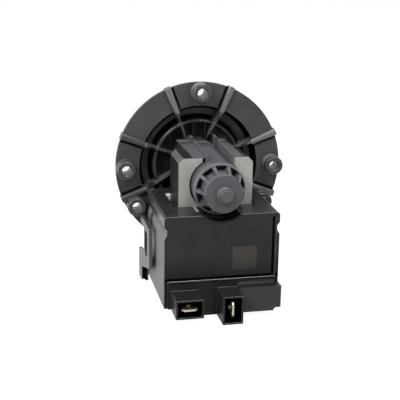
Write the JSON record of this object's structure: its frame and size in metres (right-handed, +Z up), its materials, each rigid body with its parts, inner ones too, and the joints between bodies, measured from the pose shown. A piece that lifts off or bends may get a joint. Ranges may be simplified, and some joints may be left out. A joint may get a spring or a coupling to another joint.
{
  "type": "washer drain pump",
  "caption": "Washing machine drain pump: synchronous motor with coil box and tab terminals, round screw-on cover and vaned impeller.",
  "frame": {"origin": "centre of the cover's mounting face, on the rotor axis", "axes": "+Y along the rotor axis from the motor towards the impeller, +Z up and away from the coil box, +X to the right seen from the motor side"},
  "size_m": [0.075, 0.0881, 0.0895],
  "materials": {
    "cover_plastic": "satin",
    "box_plastic": "satin",
    "lamination": "satin",
    "tab_metal": "satin",
    "clip_metal": "satin",
    "bobbin_plastic": "satin",
    "copper": "gloss",
    "fuse_metal": "gloss",
    "wire_cover": "satin",
    "bush_bronze": "satin",
    "seal_rubber": "matt",
    "shaft_steel": "gloss",
    "magnet_ferrite": "matt",
    "core_plastic": "matt",
    "washer_plastic": "satin",
    "impeller_plastic": "satin"
  },
  "bodies": {
    "motor": {"pump_cover": "cover_plastic", "stator_pole_left": "lamination", "stator_pole_right": "lamination", "stator_yoke": "lamination", "coil_housing": "box_plastic", "terminal_base": "box_plastic", "stack_clip": "clip_metal", "terminal_flat": "tab_metal", "terminal_upright": "tab_metal", "bobbin_left": "bobbin_plastic", "bobbin_right": "bobbin_plastic", "winding_left": "copper", "winding_right": "copper", "link_wire": "copper", "thermal_fuse": "fuse_metal", "lead_left": "wire_cover", "lead_right": "wire_cover", "rear_bush": "bush_bronze", "rear_bush_seat": "seal_rubber", "front_bush": "bush_bronze", "front_bush_seat": "seal_rubber", "bearing_carrier": "core_plastic", "shaft_seal": "seal_rubber", "cover_seal": "seal_rubber"},
    "rotor": {"shaft": "shaft_steel", "magnet": "magnet_ferrite", "rotor_core": "core_plastic", "thrust_washer_rear": "washer_plastic", "thrust_washer_front": "washer_plastic", "drive_dog": "core_plastic"},
    "impeller_unit": {"impeller": "impeller_plastic", "impeller_damper": "seal_rubber", "impeller_cap": "impeller_plastic"}
  },
  "joints": [
    {"name": "rotor_spin", "type": "hinge", "parent": "motor", "child": "rotor", "pos_m": [0, 0, 0], "axis": [0, -1, 0], "continuous": true},
    {"name": "impeller_play", "type": "hinge", "parent": "rotor", "child": "impeller_unit", "pos_m": [0, 0, 0], "axis": [0, -1, 0], "range_deg": [0, 113]}
  ]
}
